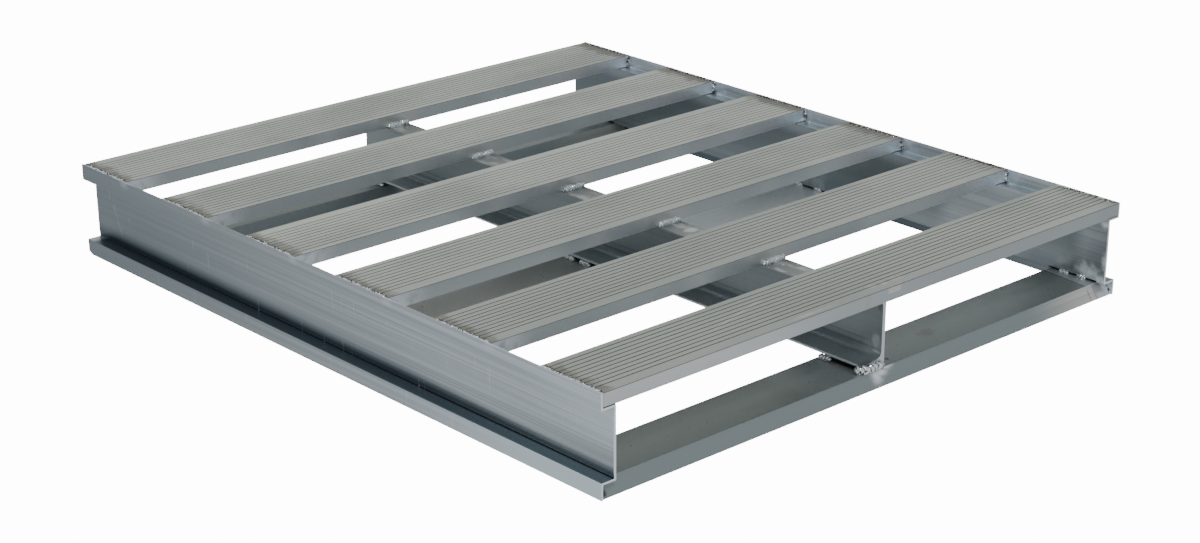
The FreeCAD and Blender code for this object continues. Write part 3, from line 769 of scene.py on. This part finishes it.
# Deck end welds: one low bead along each board's end, over the joint with the lip's top.
# They are the sootiest, cleaner along their outer edges, with painted glints in spots and strokes.
end_bead_z = 0.1493
hand = random.Random(11)
for side, sign in (("left", -1), ("right", 1)):
    paths = []
    names = []
    for number in range(1, 7):
        name = "end_weld_%s_%d" % (side, number)
        low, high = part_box(name)
        middle_x = (low.x + high.x) / 2
        start = (middle_x, low.y + 0.001, end_bead_z)
        end = (middle_x, high.y - 0.001, end_bead_z)
        paths.append(wobble(start, end, 30, 0.5, hand))
        names.append(name)
    lay_beads("deck_end_beads_" + side, paths, names, sooty_weld, width_mm=7.8, height_mm=1.8, pitch_mm=2.4,
              depth=0.40, unevenness=1.0, seed=3.0 + sign)

# Corner welds: one upright bead where each board's front face meets the lip, but for the first board.
# Those on the right carry more soot.
hand = random.Random(12)
corner_bead_side_x = 0.5294
corner_bead_low_z = 0.1292
corner_bead_high_z = 0.1488
for side, sign, metal in (("left", -1, clean_weld), ("right", 1, smudged_weld)):
    paths = []
    bead_x = sign * corner_bead_side_x
    for number in range(2, 7):
        bead_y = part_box("deck_board_%d" % number)[0].y - 0.0010
        paths.append(wobble((bead_x, bead_y, corner_bead_low_z), (bead_x, bead_y, corner_bead_high_z),
                            6, 0.2, hand))
    lay_beads("corner_beads_" + side, paths, ["corner_welds_" + side], metal, width_mm=5.8, height_mm=2.9,
              pitch_mm=2.2, depth=0.3, unevenness=0.7, seed=7.0 + sign)

# Channel welds: a bead across the channel's top flange along each board's front face, and one behind
# the first board.
hand = random.Random(13)
flange_low, flange_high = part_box("middle_stringer")
flange_bead_z = flange_high.z + 0.0022
flange_bead_away = 0.0018
paths = []
for number in range(2, 7):
    bead_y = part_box("deck_board_%d" % number)[0].y - flange_bead_away
    paths.append(wobble((flange_low.x + 0.0005, bead_y, flange_bead_z),
                        (flange_high.x + 0.0015, bead_y, flange_bead_z), 9, 0.6, hand))
bead_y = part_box("deck_board_1")[1].y + flange_bead_away
paths.append(wobble((flange_low.x + 0.001, bead_y, flange_bead_z),
                    (flange_high.x - 0.001, bead_y, flange_bead_z), 9, 0.6, hand))
lay_beads("channel_deck_beads", paths, ["flange_welds"], clean_weld, width_mm=11.0, height_mm=5.6,
          pitch_mm=3.4, depth=0.42, unevenness=0.8, seed=21.0)

# Channel foot welds: a heavy bead under the channel's front end, and short ones beside its toe where it
# crosses the bottom boards.
hand = random.Random(14)
low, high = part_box("nose_weld")
nose_bead_z = 0.0270
nose_line = [(low.x - 0.0075, high.y + 0.0060, nose_bead_z - 0.0005),
             (low.x - 0.0035, high.y - 0.0010, nose_bead_z)]
nose_line += wobble((low.x + 0.004, high.y - 0.0062, nose_bead_z),
                    (high.x - 0.004, high.y - 0.0066, nose_bead_z), 5, 0.5, hand)
lay_beads("channel_nose_bead", [nose_line], ["nose_weld"], clean_weld, width_mm=13.0, height_mm=8.0,
          pitch_mm=8.0, depth=0.52, unevenness=0.35, seed=31.0)

toe_bead_x = flange_low.x - 0.002
toe_bead_z = 0.0250
toe_bead_half = 0.0115
paths = []
for centre_y in (-0.5205, -0.0097, 0.0263, 0.5168):
    paths.append(wobble((toe_bead_x, centre_y - toe_bead_half, toe_bead_z),
                        (toe_bead_x, centre_y + toe_bead_half, toe_bead_z), 4, 0.5, hand))
lay_beads("channel_toe_beads", paths, ["toe_welds"], clean_weld, width_mm=9.0, height_mm=4.9,
          pitch_mm=5.0, depth=0.40, unevenness=0.5, seed=41.0)

# Side tacks: short beads where the bottom boards pass under the side webs, and a small sooty one low in
# each end corner.
hand = random.Random(15)
tack_side_x = 0.5063
tack_z = 0.0226
tack_half = 0.0085
foot_bead_side_x = 0.5294
for side, sign in (("left", -1), ("right", 1)):
    bead_x = sign * tack_side_x
    paths = []
    for centre_y in (-0.5672, -0.5346, -0.0116, 0.0324, 0.5346, 0.5671):
        paths.append(wobble((bead_x, centre_y - tack_half, tack_z),
                            (bead_x, centre_y + tack_half, tack_z), 4, 0.4, hand))
    lay_beads("side_tacks_" + side, paths, ["web_tacks_" + side], clean_weld, width_mm=9.0, height_mm=5.2,
              pitch_mm=4.0, depth=0.40, unevenness=0.6, seed=51.0 + sign)
    bead_x = sign * foot_bead_side_x
    paths = []
    for end in (-1, 1):
        paths.append(wobble((bead_x, end * 0.6058, 0.0020), (bead_x, end * 0.6008, 0.0090), 3, 0.3, hand))
    lay_beads("foot_beads_" + side, paths, ["foot_welds_" + side], sooty_weld, width_mm=4.4, height_mm=2.2,
              pitch_mm=2.4, depth=0.35, unevenness=0.8, seed=61.0 + sign)

# Studio: a pale floor that runs out past every view, a soft bright sky, two large soft lights and a
# small hard one. Floor and sky look brighter to the eye than the light that they give the metal.
floor_colour = "#707070"
floor_glow = 0.58
floor_glow_to_eye = 14.0
floor_half = 30.0
floor_z = -0.0002
sky_low_colour = "#f9fbfb"
sky_high_colour = "#dde1e4"
light_target = Vector((0.0, 0.0, 0.1))
floor_mesh = bpy.data.meshes.new("floor")
floor_mesh.from_pydata([(-floor_half, -floor_half, 0.0), (floor_half, -floor_half, 0.0),
                        (floor_half, floor_half, 0.0), (-floor_half, floor_half, 0.0)], [], [(0, 1, 2, 3)])
floor = bpy.data.objects.new("floor", floor_mesh)
scene.collection.objects.link(floor)
floor.location.z = floor_z
floor_paint = bpy.data.materials.new("matt_white_floor")
floor_paint.use_nodes = True
tree = floor_paint.node_tree
tree.nodes.clear()
seen = add(tree, "ShaderNodeLightPath").outputs["Is Camera Ray"]
glow_strength = add(tree, "ShaderNodeMapRange", {0: seen, 3: floor_glow, 4: floor_glow_to_eye}).outputs[0]
glow = add(tree, "ShaderNodeEmission", {"Strength": glow_strength})
paint = add(tree, "ShaderNodeBsdfDiffuse", {"Color": linear(floor_colour)})
both = add(tree, "ShaderNodeAddShader", {0: glow.outputs[0], 1: paint.outputs[0]})
add(tree, "ShaderNodeOutputMaterial", {"Surface": both.outputs[0]})
floor_mesh.materials.append(floor_paint)

sky_strength = 0.80
world = bpy.data.worlds.new("studio")
world.use_nodes = True
scene.world = world
sky = world.node_tree
seen = add(sky, "ShaderNodeLightPath").outputs["Is Camera Ray"]
strength = add(sky, "ShaderNodeMapRange", {0: seen, 3: sky_strength, 4: floor_glow_to_eye}).outputs[0]
sky.links.new(strength, sky.nodes["Background"].inputs["Strength"])
direction = add(sky, "ShaderNodeSeparateXYZ", {0: add(sky, "ShaderNodeTexCoord").outputs["Generated"]})
height = band(sky, direction.outputs[2], 0.24, 0.50)
sky_colour = blend_colour(sky, height, sky_low_colour, sky_high_colour)
sky.links.new(sky_colour, sky.nodes["Background"].inputs["Color"])


def area_light(name, place, size, watts, colour):
    """A rectangular light that points at the middle of the pallet."""
    data = bpy.data.lights.new(name, "AREA")
    data.shape = "RECTANGLE"
    data.size, data.size_y = size
    data.energy = watts
    data.color = linear(colour)[:3]
    light = bpy.data.objects.new(name, data)
    scene.collection.objects.link(light)
    light.location = place
    light.rotation_euler = (light_target - Vector(place)).to_track_quat("-Z", "Y").to_euler()


area_light("overhead", place=(1.2, 1.8, 3.2), size=(3.0, 3.0), watts=18.0, colour="#fffaf2")
area_light("left_softbox", place=(-3.0, 0.9, 0.8), size=(1.6, 1.0), watts=14.0, colour="#f2f7ff")
area_light("hard_lamp", place=(-1.5, -2.5, 3.0), size=(0.35, 0.35), watts=30.0, colour="#ffffff")
